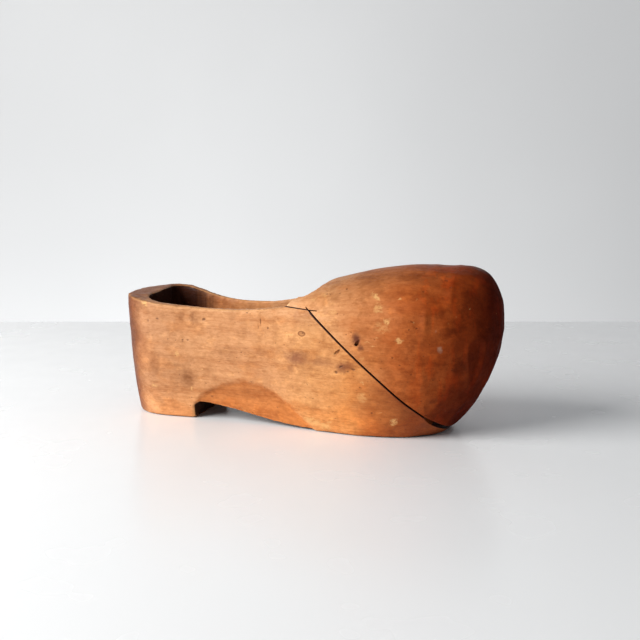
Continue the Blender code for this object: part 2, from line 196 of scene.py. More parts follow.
def blank_section(station):
    """At stations: lateral and medial half widths, top, belly and bottom heights, and squareness above and
    below the belly."""
    plan = rounding(-station, -HEEL_ROUND, END_FLAT, HEEL_FULLNESS)
    plan = plan * rounding(station, LENGTH - TOE_ROUND, LENGTH + END_FLAT, TOE_FULLNESS)
    above = rounding(station, LENGTH - TOE_TOP_ROUND, LENGTH + END_FLAT, TOE_TOP_FULLNESS)
    below = rounding(station, LENGTH - TOE_SPRING_ROUND, LENGTH + END_FLAT, TOE_SPRING_FULLNESS)
    top = TOE_TIP_HEIGHT + (ridge_height(station) - TOE_TIP_HEIGHT) * above
    belly = TOE_TIP_HEIGHT + (belly_height(station) - TOE_TIP_HEIGHT) * below
    bottom = TOE_TIP_HEIGHT + (BLANK_BOTTOM - TOE_TIP_HEIGHT) * below
    widths = lateral_width(station) * plan, medial_width(station) * plan
    return *widths, top, belly, bottom, squareness_above(station), squareness_below(station)


def cavity_section(station):
    """The same seven values for the hollow. Behind the lip its sides run straight up and out of the top."""
    back, front = -CAVITY_BACK, CAVITY_FRONT + END_FLAT
    toe = rounding(station, CAVITY_FRONT - CAVITY_TOE_ROUND, front, TOE_FULLNESS)
    widths = []
    for side, half_width in ((LATERAL, lateral_width), (MEDIAL, medial_width)):
        heel = rounding(-station, back - CAVITY_HEEL_ROUND, back + END_FLAT, CAVITY_HEEL_FULLNESS[side])
        widths.append((half_width(station) - wall(station)) * heel * toe)
    end = rounding(station, CAVITY_FRONT - CAVITY_END_ROUND, front, 2)
    bottom = CAVITY_TIP_HEIGHT + (floor_height(station) - CAVITY_TIP_HEIGHT) * end
    belly = CAVITY_TIP_HEIGHT + (CAVITY_BELLY - CAVITY_TIP_HEIGHT) * end
    closed_top = CAVITY_TIP_HEIGHT + (ceiling_height(station) - CAVITY_TIP_HEIGHT) * end
    is_open = station < LIP
    top = np.where(is_open, OPEN_TOP, closed_top)
    above = np.where(is_open, OPEN_SQUARENESS, CEILING_SQUARENESS)
    return *widths, top, belly, bottom, above, np.full_like(belly, FLOOR_SQUARENESS)


def heel_lean(station, height):
    """How far forward the back of the heel stands at a height: its top overhangs its foot."""
    drop = np.clip((HEEL_LEAN_TOP - height) / HEEL_LEAN_TOP, 0, 1.3)
    return HEEL_LEAN * drop**1.6 * np.clip(1 - station / HEEL_LEAN_REACH, 0, 1)


def section_rings(stations, section, sides):
    """Rings of points round sections whose quarters are superellipses, as an array (station, side, xyz)."""
    columns = [np.asarray(values)[:, None] for values in section(stations)]
    lateral, medial, top, belly, bottom, above, below = columns
    angle = np.linspace(0, math.tau, sides, endpoint=False)[None]
    across, up = np.cos(angle), np.sin(angle)
    square = np.where(up >= 0, above, below)
    width = np.where(across >= 0, medial, lateral)
    height = np.where(up >= 0, top - belly, belly - bottom)
    y = np.sign(across) * np.abs(across) ** (2 / square) * width
    z = belly + np.sign(up) * np.abs(up) ** (2 / square) * height
    station = np.broadcast_to(stations[:, None], z.shape)
    x = station + heel_lean(station, z) - LENGTH / 2
    return np.stack([x, y, z], axis=-1)


def eased(start, end, count):
    """Numbers from start to end that crowd together near both ends."""
    return start + (end - start) * (1 - np.cos(np.linspace(0, math.pi, count))) / 2


def station_of(points):
    """The station of each point, with the lean of the heel taken out."""
    station = points[:, 0] + LENGTH / 2
    return station - heel_lean(station, points[:, 2])


def smoothstep(low, high, value):
    """A smooth step from 0 at low to 1 at high. Low may be above high."""
    t = np.clip((value - low) / (high - low), 0, 1)
    return t * t * (3 - 2 * t)


def lattice_noise(points, cell, seed):
    """Smooth noise from about -1 to 1. Its features are as large as cell, in millimetres, which may differ
    along X, Y and Z."""
    size = 32
    lattice = np.random.default_rng(seed).uniform(-1, 1, (size, size, size))
    scaled = points / (np.asarray(cell) * MM)
    base = np.floor(scaled).astype(int)
    t = scaled - base
    t = t**3 * (t * (6 * t - 15) + 10)
    total = np.zeros(len(points))
    for corner in range(8):
        offset = np.array([corner >> 2 & 1, corner >> 1 & 1, corner & 1])
        weight = np.prod(np.where(offset, t, 1 - t), axis=1)
        i, j, k = ((base + offset) % size).T
        total += weight * lattice[i, j, k]
    return total


# Meshes


def new_object(name, points, faces):
    """An object in the scene with its faces turned outward."""
    mesh = bpy.data.meshes.new(name)
    mesh.from_pydata(points, [], faces)
    mesh_data = bmesh.new()
    mesh_data.from_mesh(mesh)
    bmesh.ops.recalc_face_normals(mesh_data, faces=mesh_data.faces)
    mesh_data.to_mesh(mesh)
    mesh_data.free()
    obj = bpy.data.objects.new(name, mesh)
    bpy.context.scene.collection.objects.link(obj)
    return obj


def loft(name, rings):
    """A closed solid through an array of rings, with a flat face at each end."""
    count, sides = rings.shape[:2]
    faces = [tuple(range(sides)), tuple(range((count - 1) * sides, count * sides))]
    for i in range(count - 1):
        for j in range(sides):
            k = (j + 1) % sides
            faces.append((i * sides + j, i * sides + k, (i + 1) * sides + k, (i + 1) * sides + j))
    return new_object(name, rings.reshape(-1, 3).tolist(), faces)


def side_prism(name, outline, far_outline=None):
    """A solid across the clog, from one outline of (station, height) points or from one at each side."""
    rings = []
    for side, points in ((LATERAL, outline), (MEDIAL, far_outline or outline)):
        y = side * SAW_REACH
        rings.append([(station - LENGTH / 2, y, height) for station, height in points])
    return loft(name, np.array(rings))


def apply_modifiers(target):
    """Makes what the modifiers show the object's own mesh."""
    graph = bpy.context.evaluated_depsgraph_get()
    shaped = bpy.data.meshes.new_from_object(target.evaluated_get(graph))
    target.modifiers.clear()
    target.data = shaped


def boolean(target, cutter, operation):
    """Cuts or keeps for good, and removes the cutter."""
    modifier = target.modifiers.new("cut", "BOOLEAN")
    modifier.operation = operation
    modifier.solver = "MANIFOLD"
    modifier.object = cutter
    apply_modifiers(target)
    bpy.data.objects.remove(cutter)


def remesh(target, voxel):
    """Gives the object an even mesh of small faces."""
    modifier = target.modifiers.new("remesh", "REMESH")
    modifier.mode = "VOXEL"
    modifier.voxel_size = voxel
    apply_modifiers(target)


def read(items, field, width, kind=float):
    """A field of a mesh's vertices, edges or normals, with a row for each."""
    values = np.empty(len(items) * width, np.float32 if kind is float else np.int32)
    items.foreach_get(field, values)
    return values.reshape(-1, width).astype(kind)


def write_points(mesh, points):
    mesh.vertices.foreach_set("co", points.astype(np.float32).ravel())
    mesh.update()


def neighbour_mean(values, edges):
    """For each vertex, the mean of values over the vertices that share an edge with it."""
    count = np.maximum(np.bincount(edges.ravel(), minlength=len(values)), 1)
    columns = []
    for column in np.atleast_2d(values.T):
        total = np.bincount(edges[:, 0], column[edges[:, 1]], len(values))
        total += np.bincount(edges[:, 1], column[edges[:, 0]], len(values))
        columns.append(total / count)
    return np.stack(columns, axis=1).reshape(values.shape)


def smoothed(values, edges, rounds, share=0.6):
    """The values moved a share of the way to their neighbours' mean, as many times as rounds says."""
    for _ in range(rounds):
        values = values + share * (neighbour_mean(values, edges) - values)
    return values


def store(mesh, name, values):
    """Keeps one number per vertex on the mesh, for the material to read."""
    attribute = mesh.attributes.get(name) or mesh.attributes.new(name, "FLOAT", "POINT")
    attribute.data.foreach_set("value", values.astype(np.float32))


def underside_outline():
    """The region below the sole: the ground, the heel's breast and the arch."""
    near, far = -MARGIN, LENGTH + MARGIN
    arch = [(s, float(arch_height(s))) for s in np.linspace(HEEL_BREAST, ARCH_END, 40)]
    return [(near, SAW_LOW), (near, 0), (HEEL_BREAST, 0), *arch, (far, 0), (far, SAW_LOW)]


def rim_outline(y):
    """The region above the rim and the lip's slope, in the upright plane at y. The rim tilts across."""
    share = (y / RIM_LEVEL_Y + 1) / 2
    stations = np.concatenate([np.linspace(0, LIP, 60), np.linspace(LIP, LIP_SLOPE_END, 24)[1:]])
    heights = rim_height[LATERAL](stations) * (1 - share) + rim_height[MEDIAL](stations) * share
    rim = list(zip(stations.tolist(), heights.tolist()))
    back = [(-MARGIN, OPEN_TOP), (-MARGIN, rim[0][1])]
    return [*back, *rim[1:], (LIP_SLOPE_END, OPEN_TOP)]


def throat_rings():
    """An upright prism that carries the opening forward into the cap, rounded in front."""
    angle = np.linspace(0, math.pi / 2, 40)
    ahead = LIP + np.sin(angle) ** (2 / THROAT_SQUARENESS) * (THROAT_FRONT - LIP) - LENGTH / 2
    across = np.cos(angle) ** (2 / THROAT_SQUARENESS)
    back = THROAT_BACK - LENGTH / 2
    lateral = np.column_stack([ahead, -across * THROAT_HALF_WIDTHS[LATERAL]])
    medial = np.column_stack([ahead, across * THROAT_HALF_WIDTHS[MEDIAL]])[-2::-1]
    corners = [(back, THROAT_HALF_WIDTHS[MEDIAL]), (back, -THROAT_HALF_WIDTHS[LATERAL])]
    outline = np.concatenate([lateral, medial, corners])
    rings = []
    for height in (CAVITY_BELLY, OPEN_TOP):
        rings.append(np.column_stack([outline, np.full(len(outline), height)]))
    return np.array(rings)


def level_cut(station):
    """The height of the near-level cut's lower face."""
    return CUT_HEIGHT + (CUT_CORNER - station) * math.tan(CUT_CLIMB)


def slope_point(station, gap):
    """A point on the sloping cut, moved square to it by a gap toward the sole."""
    height = CUT_HEIGHT - (station - CUT_CORNER) * math.tan(CUT_SLOPE)
    return station - gap * math.sin(CUT_SLOPE), height - gap * math.cos(CUT_SLOPE)


def cap_outline():
    """The region of the toe cap, above both cuts."""
    return [
        (SAW_NEAR, level_cut(SAW_NEAR) + LIP_GAP),
        (CUT_CORNER, CUT_HEIGHT + LIP_GAP),
        slope_point(SAW_FAR, 0),
        (SAW_FAR, SAW_TOP),
        (SAW_NEAR, SAW_TOP),
    ]


def body_cut_outline():
    """The region taken off the lower body: the cap's own, and the width of the cuts below it."""
    return [
        (SAW_NEAR, level_cut(SAW_NEAR)),
        (CUT_CORNER - KERF, level_cut(CUT_CORNER - KERF)),
        slope_point(TOE_GAP_START, KERF),
        slope_point(TOE_GAP_FULL, TOE_GAP),
        slope_point(SAW_FAR, TOE_GAP),
        (SAW_FAR, SAW_TOP),
        (SAW_NEAR, SAW_TOP),
    ]


def level_overcut_outline():
    """Where the near-level cut runs on into the cap past the corner."""
    start, end = CUT_CORNER - OVERCUT_START, CUT_CORNER + OVERCUT_LEVEL
    return [
        (start, CUT_HEIGHT - LIP_GAP),
        (end, CUT_HEIGHT - LIP_GAP / 2),
        (end, CUT_HEIGHT + LIP_GAP),
        (start, CUT_HEIGHT + LIP_GAP * 1.5),
    ]


def slope_overcut_outline():
    """Where the sloping cut runs on into the cap past the corner."""
    low = CUT_CORNER + OVERCUT_START
    high = CUT_CORNER - OVERCUT_SLOPE * math.cos(CUT_SLOPE)
    return [
        slope_point(low, KERF),
        slope_point(low, -OVERCUT_TAPER),
        slope_point(high, OVERCUT_TAPER),
        slope_point(high, KERF - OVERCUT_TAPER),
    ]


def hollow_share(points):
    """1 on the surface of the hollow, falling to 0 on the outside, fading across the rim."""
    station = station_of(points)
    inside = np.clip(station, CAVITY_BACK + MM, CAVITY_FRONT - MM)
    lateral, medial, top, belly, bottom, above, below = cavity_section(inside)
    width = np.where(points[:, 1] < 0, lateral, medial)
    is_up = points[:, 2] > belly
    square = np.where(is_up, above, below)
    height = np.where(is_up, top - belly, belly - bottom)
    level = (np.abs(points[:, 1]) / width) ** square + (np.abs(points[:, 2] - belly) / height) ** square
    level = level ** (1 / square)
    beyond = np.maximum(CAVITY_BACK - station, station - CAVITY_FRONT)
    return smoothstep(1.16, 1.04, level) * smoothstep(6 * MM, 1.5 * MM, beyond)


def carved_clog():
    """The whole clog before it was sawn, with softened edges and the marks of the tools on its surface."""
    clog = loft("clog", section_rings(eased(0, LENGTH, BLANK_STATIONS), blank_section, BLANK_SIDES))
    boolean(clog, side_prism("underside", underside_outline()), "DIFFERENCE")
    rim = side_prism("rim", rim_outline(-SAW_REACH), rim_outline(SAW_REACH))
    boolean(clog, rim, "DIFFERENCE")
    open_part = eased(CAVITY_BACK, LIP - END_FLAT, CAVITY_STATIONS)
    stations = np.concatenate([open_part, eased(LIP, CAVITY_FRONT, CAVITY_STATIONS)])
    boolean(clog, loft("hollow", section_rings(stations, cavity_section, CAVITY_SIDES)), "DIFFERENCE")
    boolean(clog, loft("throat", throat_rings()), "DIFFERENCE")
    remesh(clog, VOXEL)
    mesh = clog.data
    edges = read(mesh.edges, "vertices", 2, int)
    points = smoothed(read(mesh.vertices, "co", 3), edges, EDGE_ROUNDS)
    write_points(mesh, points)
    normals = read(mesh.vertex_normals, "vector", 3)
    bend = np.sum((points - neighbour_mean(points, edges)) * normals, axis=1) / VOXEL
    bend = smoothed(bend, edges, 3)
    store(mesh, "edge", bend)
    points = points + normals * tool_marks(points, bend)[:, None]
    points[:, 2] = np.maximum(points[:, 2], 0)
    write_points(mesh, points)
    return clog


def tool_marks(points, bend):
    """How far each point stands proud of the smooth shape: facets, gouges, dents, chips and the scoop."""
    inner = hollow_share(points)
    station, height = station_of(points), points[:, 2]
    waves = lattice_noise(points, WAVE_CELL, 1)
    knife = np.abs(lattice_noise(points, KNIFE_CELL, 5))
    whittled = np.abs(lattice_noise(points, FACET_CELL, 6))
    gouges = np.abs(lattice_noise(points, GOUGE_CELL, 2))
    dents = lattice_noise(points, DENT_CELL, 3)
    chips = smoothstep(0.25, 0.7, lattice_noise(points, CHIP_CELL, 4))
    convex = smoothstep(0.02, 0.10, bend)
    toe = smoothstep(FACET_START, FACET_FULL, station)
    outside = WAVE_DEPTH * waves - KNIFE_DEPTH * knife + DENT_DEPTH * dents - CHIP_DEPTH * chips * convex
    outside = outside + toe * (FACET_RISE - FACET_DEPTH * whittled)
    below = SCOOP_TOP - SCOOP_BEND * (station - SCOOP_MIDDLE) ** 2 - height
    scoop = smoothstep(-MM, SCOOP_EASE, below)
    scoop = scoop * smoothstep(HEEL_BREAST, HEEL_BREAST + SCOOP_EASE, station)
    inside = GOUGE_RISE - GOUGE_DEPTH * gouges
    return (MM * outside - SCOOP_DEPTH * scoop) * (1 - inner) + MM * inside * inner


def sawn_pieces(clog):
    """The lower body and the toe cap, cut from the carved clog."""
    cap = clog.copy()
    cap.data = clog.data.copy()
    bpy.context.scene.collection.objects.link(cap)
    boolean(clog, side_prism("body_saw", body_cut_outline()), "DIFFERENCE")
    boolean(cap, side_prism("cap_keeper", cap_outline()), "INTERSECT")
    boolean(cap, side_prism("level_overcut", level_overcut_outline()), "DIFFERENCE")
    boolean(cap, side_prism("slope_overcut", slope_overcut_outline()), "DIFFERENCE")
    clog.name = "carved_body"
    cap.name = "carved_toe_cap"
    return clog, cap


# Nails


def outer_half_width(station, height, side):
    """Distance from the middle plane to the outer surface at a station and a height."""
    lateral, medial, top, belly, bottom, above, below = blank_section(station)
    if height >= belly:
        ratio, square = (height - belly) / (top - belly), above
    else:
        ratio, square = (belly - height) / (belly - bottom), below
    return (lateral if side == LATERAL else medial) * (1 - ratio**square) ** (1 / square)


def nail_places():
    """Each nail's name, where it enters, its direction, its length, and how deep its head sits."""
    up = Vector((0, 0, 1))
    across_cut = Vector((math.sin(CUT_SLOPE), 0, math.cos(CUT_SLOPE)))
    places = []
    for side, word in ((LATERAL, "lateral"), (MEDIAL, "medial")):
        places.append((f"cap_{word}", *seam_nail(CAP_NAIL, side, -across_cut)))
        places.append((f"body_{word}", *seam_nail(BODY_NAIL, side, across_cut)))
        under = Vector((TOE_NAIL_STATION - LENGTH / 2, side * TOE_NAIL_Y, 0))
        places.append((f"toe_{word}", under, up, TOE_NAIL_LENGTH, TOE_NAIL_SUNK))
    return places


def seam_nail(nail, side, across_cut):
    """The place of a nail driven into the side of the clog and on across the sloping cut."""
    station, height = nail["station"], nail["height"]
    inward = Vector((0, -side, 0))
    direction = across_cut * math.cos(nail["angle"]) + inward * math.sin(nail["angle"])
    start = Vector((station - LENGTH / 2, side * outer_half_width(station, height, side), height))
    return start, direction.normalized(), nail["length"], SEAM_NAIL_SUNK


def placed(points, placement):
    """An array of points moved by a placement matrix."""
    matrix = np.array(placement)
    return points @ matrix[:3, :3].T + matrix[:3, 3]


def turned(radii, depths, angle, shape):
    """Rings round the axis of a nail or a hole. Shape scales the radius at each angle."""
    reach = radii[:, None] * shape
    depth = np.broadcast_to(depths[:, None], reach.shape)
    return np.stack([reach * np.cos(angle), reach * np.sin(angle), depth], axis=-1)


def nail_hole(name, length, placement):
    """The hole a nail sits in: clear of the nail all round, and open to the surface above its head."""
    head, shank = HEAD_RADIUS + CLEARANCE, SHANK_RADIUS + CLEARANCE
    shoulder, tip = HEAD_THICKNESS + CLEARANCE, length + CLEARANCE
    profile = [
        (head, -POCKET_DEPTH),
        (head, shoulder),
        (shank, shoulder + MM / 10),
        (shank, tip - POINT_LENGTH),
        (POINT_RADIUS + CLEARANCE, tip),
    ]
    angle = np.linspace(0, math.tau, HOLE_SIDES, endpoint=False)
    wobble = 1 + 0.05 * np.sin(3 * angle) + 0.04 * np.sin(5 * angle + 1)
    return loft(name, placed(turned(*np.array(profile).T, angle, wobble), placement))


def forged_nail(name, length, placement, seed):
    """A small hand-forged nail: a hammered round head on a square shank that tapers to a point."""
    depths = np.concatenate([
        np.array(HEAD_DEPTHS) * MM,
        np.linspace(SHANK_START, length - POINT_LENGTH, SHANK_STEPS),
        np.linspace(length - POINT_LENGTH, length, POINT_STEPS)[1:],
    ])
    radii = np.concatenate([
        np.array(HEAD_SHARES) * HEAD_RADIUS,
        [SHANK_RADIUS],
        np.linspace(SHANK_RADIUS, SHANK_TAPER * SHANK_RADIUS, SHANK_STEPS),
        np.linspace(SHANK_TAPER * SHANK_RADIUS, POINT_RADIUS, POINT_STEPS)[1:],
    ])
    angle = np.linspace(0, math.tau, NAIL_SIDES, endpoint=False)
    # The square section's corners reach the shank's radius.
    square = SHANK_SQUARENESS / np.maximum(np.abs(np.cos(angle)), np.abs(np.sin(angle)))
    squareness = smoothstep(HEAD_THICKNESS, HEAD_THICKNESS + 0.3 * MM, depths)[:, None]
    shape = 1 - squareness + squareness * np.minimum(square, 1)
    rings = turned(radii, depths, angle, shape)
    flat = rings.reshape(-1, 3)
    dents = lattice_noise(flat + seed * 3 * MM, NAIL_DENT_CELL, 7) * NAIL_DENT
    flat[:, :2] *= (1 + np.minimum(dents, 0) / (NAIL_DENT_CELL * MM))[:, None]
    flat[:, 2] += np.abs(dents)
    return loft(name, placed(rings, placement))


# Materials


def srgb(red, green, blue):
    """A linear colour from display values of 0 to 255."""
    return tuple(((value / 255 + 0.055) / 1.055) ** 2.4 for value in (red, green, blue))


class Graph:
    """Short calls that add linked nodes to a material."""

    def __init__(self, name):
        self.material = bpy.data.materials.new(name)
        self.material.use_nodes = True
        self.tree = self.material.node_tree
        self.shader = self.tree.nodes["Principled BSDF"]
        # Object coordinates in millimetres.
        coordinates = self.node("TexCoord", {}).outputs["Object"]
        self.place = self.vector("SCALE", coordinates, scale=1 / MM)
        self.x, _, self.z = self.split(self.place)

    def link(self, value, socket):
        """Links an output, or sets a plain number, colour or vector."""
        if isinstance(value, bpy.types.NodeSocket):
            self.tree.links.new(value, socket)
        elif isinstance(value, tuple) and len(value) == 3 and len(socket.default_value) == 4:
            socket.default_value = (*value, 1)
        else:
            socket.default_value = value

    def node(self, kind, inputs, **settings):
        """A new node with its settings made, and with those inputs linked or set that are not None."""
        node = self.tree.nodes.new("ShaderNode" + kind)
        for name, value in settings.items():
            setattr(node, name, value)
        for socket, value in inputs.items():
            if value is not None:
                self.link(value, node.inputs[socket])
        return node

    def surface(self, **inputs):
        """Links or sets inputs of the material's shader, whose names have spaces here shown as _."""
        for name, value in inputs.items():
            self.link(value, self.shader.inputs[name.replace("_", " ")])
        return self.material

    def split(self, place):
        """The X, Y and Z of a place or direction."""
        return self.node("SeparateXYZ", {0: place}).outputs

    def vector(self, operation, a, b=None, scale=None):
        """Vector arithmetic. A length comes out as a plain number."""
        node = self.node("VectorMath", {0: a, 1: b, "Scale": scale}, operation=operation)
        return node.outputs["Value" if operation == "LENGTH" else "Vector"]

    def math(self, operation, result, *values):
        """Arithmetic on plain numbers, one after another."""
        for value in values:
            result = self.node("Math", {0: result, 1: value}, operation=operation).outputs[0]
        return result

    def times(self, *values):
        return self.math("MULTIPLY", *values)

    def total(self, *values):
        return self.math("ADD", *values)

    def minus(self, a, b):
        return self.math("SUBTRACT", a, b)

    def weighted(self, start, *pairs):
        """A number, and on top of it each value times its weight."""
        return self.total(start, *[self.times(*pair) for pair in pairs])

    def step(self, value, low, high, start=0.0, end=1.0):
        """A smooth step of value from start at low to end at high. Low may be above high."""
        if low > high:
            low, high, start, end = high, low, end, start
        inputs = {"Value": value, "From Min": low, "From Max": high, "To Min": start, "To Max": end}
        return self.node("MapRange", inputs, interpolation_type="SMOOTHSTEP").outputs[0]

    def noise(self, stretch, detail=2.0, roughness=0.5, place=None, offset=(0, 0, 0)):
        """Noise from 0 to 1. Stretch is how many features there are per millimetre along X, Y and Z."""
        scaled = self.vector("MULTIPLY", place or self.place, stretch)
        moved = self.vector("ADD", scaled, offset)
        inputs = {"Vector": moved, "Scale": 1.0, "Detail": detail, "Roughness": roughness}
        return self.node("TexNoise", inputs).outputs["Fac"]

    def warped(self, amount, stretch):
        """The place moved about by smooth noise, by up to amount in millimetres."""
        scaled = self.vector("MULTIPLY", self.place, stretch)
        colour = self.node("TexNoise", {"Vector": scaled, "Scale": 1.0}).outputs["Color"]
        centred = self.vector("SUBTRACT", colour, (0.5, 0.5, 0.5))
        return self.vector("ADD", self.place, self.vector("SCALE", centred, scale=2.0 * amount))

    def attribute(self, name):
        return self.node("Attribute", {}, attribute_name=name).outputs["Fac"]

    def blend(self, factor, a, b, mode="MIX"):
        """Colour a, changed by colour b as far as factor goes."""
        inputs = {0: factor, 6: a, 7: b}
        return self.node("Mix", inputs, data_type="RGBA", blend_type=mode).outputs[2]

    def ramp(self, value, *stops):
        """Colours along value, from (position, colour) stops."""
        node = self.node("ValToRGB", {0: value})
        elements = node.color_ramp.elements
        while len(elements) < len(stops):
            elements.new(0.5)
        for element, (position, colour) in zip(elements, stops):
            element.position = position
            element.color = (*colour, 1)
        return node.outputs[0]

    def spot(self, station, height, along, up, soft, turn=0, place=None):
        """1 at a place on the lateral side, falling to 0 at an ellipse's edge. Turn tips its toe end up."""
        centre = (station - LENGTH / MM / 2, LATERAL * MARK_Y, height)
        away = self.vector("SUBTRACT", place or self.place, centre)
        if turn:
            inputs = {"Vector": away, "Angle": math.radians(turn)}
            away = self.node("VectorRotate", inputs, rotation_type="Y_AXIS").outputs[0]
        distance = self.vector("LENGTH", self.vector("DIVIDE", away, (along, MARK_REACH, up)))
        return self.step(distance, 1.0, 1.0 - soft)

    def bump(self, height, depth):
        """Relief of a height from 0 to 1, whose full depth is in millimetres."""
        return self.node("Bump", {"Height": height, "Distance": depth * MM}).outputs[0]

    def marks(self, places, soft, wander):
        """The union of the marks in a list, with edges that wander by some millimetres."""
        place = self.warped(wander, (0.3, 0.3, 0.3))
        result = 0.0
        for station, height, along, up, strength, *turn in places:
            spot = self.spot(station, height, along, up, soft, *turn, place=place)
            result = self.math("MAXIMUM", result, self.times(spot, strength))
        return result


# Marks of wear on the lateral side: station, height, half length and half height in millimetres, strength,
# and a turn in degrees where there is one. The knot has neither strength nor turn.
MARK_Y, MARK_REACH = 46, 40
BODY_SMOKE = [
    (61, 31, 10, 11, 1, 20), (33, 41, 7, 15, 0.6), (66, 77, 4, 9, 0.9), (57, 79, 4, 5, 0.7),
    (90, 53, 14, 7, 0.45), (120, 81, 3, 8, 0.35),
]
BODY_BRUISES = [
    (150, 54, 16, 8, 0.9), (168, 53, 22, 5, 0.5), (146, 47, 5, 5, 0.5), (187, 51, 12, 6, 0.9, 10),
]
BODY_SPECKS = [
    (75, 77, 2, 1.4, 1, 20), (58, 61, 1.1, 0.7, 0.9), (62, 61, 1.3, 0.7, 0.9), (46, 61, 0.8, 0.8, 0.6),
    (38, 76, 1.3, 0.9, 0.8), (30, 74, 0.8, 1.2, 0.7), (121, 78, 0.7, 3.5, 0.8, 5),
    (119, 74, 0.6, 1.6, 0.6), (127, 74, 0.9, 1.1, 0.9), (102, 87, 1.2, 0.6, 0.7),
    (110, 84, 1.2, 0.7, 0.8), (79, 18, 1.6, 1.3, 0.7), (181, 47, 1.6, 1.6, 1, 50),
    (185, 51, 2.2, 1, 1, 25), (194, 50, 2.2, 1, 0.9), (190, 48, 1.2, 0.7, 0.8), (207, 19, 1.2, 1, 0.9),
    (140, 63, 0.6, 0.6, 0.7), (98, 38, 0.7, 0.7, 0.6), (168, 67, 0.6, 0.6, 0.6),
]
BODY_CHIPS = [
    (27, 86.5, 3.6, 3.4, 1, 30), (20, 90, 1.4, 1.2, 0.7), (53, 50, 2.4, 3.6, 0.6, 10),
    (72, 39, 1.6, 1.6, 0.6), (33, 24, 3.4, 2, 0.9), (64, 24, 1.4, 2.2, 0.8), (161, 8, 10, 4, 0.9, -8),
    (170, 5, 6.5, 4, 1), (174, 9, 4, 2, 0.6, 20), (222, 13, 3, 3.8, 1, -20), (213, 20, 2.4, 0.8, 0.5),
    (200, 30, 5, 5, 0.5), (200, 41, 1.2, 1.2, 0.8), (86, 12, 4, 1, 0.5, -10), (104, 10, 3, 1, 0.5, -15),
]
KNOT, KNOT_HEART = (154, 72.2, 3.6, 2.4), (154, 72.2, 2.7, 1.8)
CAP_CHIPS = [
    (207, 100.5, 5, 2.6, 1, -35), (205, 102, 3, 0.5, 0.8, -45), (224, 100, 2.6, 1, 0.8),
    (210, 93, 4.4, 4.4, 0.6), (217, 85, 3.4, 3, 0.8), (226, 72.5, 4, 3, 0.8), (177, 89, 4, 3, 0.35),
    (168, 99, 3, 1.6, 0.5), (160, 96, 3.4, 1.6, 0.5, 10), (180, 105, 1.6, 0.6, 0.6),
    (208, 67, 3.6, 0.5, 0.6), (204, 70, 3.4, 0.5, 0.6, 5), (210, 73, 2.6, 0.5, 0.5),
    (271, 94, 0.8, 0.8, 0.9), (200, 58, 3, 1.6, 0.3, 20), (236, 85, 1.2, 0.7, 0.4), (214, 80, 8, 5, 0.35),
]
CAP_ASHES = [(254, 67, 2.6, 3.2, 0.8), (251, 79, 1.6, 1.2, 0.3)]
CAP_SPECKS = [
    (184, 104, 1, 0.8, 0.9), (170, 100, 0.8, 0.6, 0.7), (240, 105, 1, 1.4, 0.6, 40),
    (254, 112, 1.2, 1, 0.9), (238, 81, 1.2, 0.7, 0.8, 20), (233, 80, 0.8, 0.7, 0.7), (222, 60, 1, 1, 0.8),
    (235, 49, 0.8, 0.8, 0.6), (192, 76, 0.7, 0.7, 0.6), (262, 52, 1, 0.7, 0.5),
]
CAP_SMOKE = [
    (259, 78, 14, 5, 0.9, 20), (250, 91, 10, 5, 0.5), (252, 56, 8, 5, 0.6, -20), (246, 51, 6, 5, 0.5),
    (266, 51, 8, 7, 0.5, 30), (271, 103, 10, 12, 0.9), (226, 93, 5, 4, 0.5), (213, 58, 14, 4, 0.45),
    (220, 102, 18, 7, 0.4),
]
IRON_STAINS = [(196, 71.5, 4.6, 7.5, 1, 10), (199, 65.5, 3, 3.6, 0.8)]

# Colours, given as display values. A palette's colours follow one another from the heel to the toe.
BODY_PALETTE = (
    (0.04, srgb(150, 96, 62)), (0.085, srgb(192, 138, 98)), (0.25, srgb(210, 152, 106)),
    (0.4, srgb(207, 149, 103)), (0.56, srgb(214, 154, 100)), (0.66, srgb(216, 148, 88)),
    (0.73, srgb(186, 110, 56)), (0.81, srgb(144, 72, 30)),
)
CAP_PALETTE = (
    (0.52, srgb(226, 172, 128)), (0.6, srgb(216, 156, 106)), (0.68, srgb(200, 130, 80)),
    (0.78, srgb(186, 104, 54)), (0.88, srgb(148, 68, 26)), (0.98, srgb(104, 38, 9)),
)
# Pale bare wood, for chips, and for the painted highlight on rubbed edges.
FRESH_CUT_AND_HIGHLIGHT = srgb(228, 178, 114)
ASH = srgb(186, 160, 138)
SPECK = srgb(62, 26, 14)
CUT_GRIME_AND_SHADE = srgb(58, 20, 9)
# Near black, for grime and painted shade in the saw cuts.
IRON_STAIN = srgb(84, 40, 34)
RUST = (
    (0.35, srgb(44, 26, 22)), (0.5, srgb(86, 44, 26)), (0.62, srgb(128, 66, 34)), (0.75, srgb(60, 40, 38))
)
RUST_GRIT = srgb(30, 20, 20)

# Shades: what a layer multiplies the colour by.
GRAIN = (0.36, (0.72, 0.6, 0.48)), (0.48, (0.93, 0.9, 0.86)), (0.6, (1.06, 1.06, 1.04))
PORE = (0.62, 0.45, 0.34)
OILED = (0.98, 0.84, 0.66)
HANDLED = (0.64, 0.56, 0.48)
BLOTCHED = (0.7, 0.62, 0.54)
MOTTLED = (0.78, 0.7, 0.6)
RUBBED = (1.22, 1.26, 1.22)
SMOKED = (0.54, 0.45, 0.38)
BRUISED = (0.4, 0.29, 0.32)
CREASE_DARKENING = (0.45, 0.34, 0.28)
# A painted grey sheen for upward faces: a painted reflection of the pale room.
TOP_SHEEN = (0.62, 0.59, 0.6)
# Dirt and painted shade for downward faces.
UNDERSIDE_DIRT_AND_SHADE = (0.16, 0.1, 0.07)
# Painted shade for the back face of the heel.
HEEL_BACK_SHADE = (0.55, 0.41, 0.29)
# Near-black painted shade for the heel's breast under the arch.
BREAST_SHADE = (0.06, 0.04, 0.03)
INSIDE = (0.86, 0.68, 0.52)
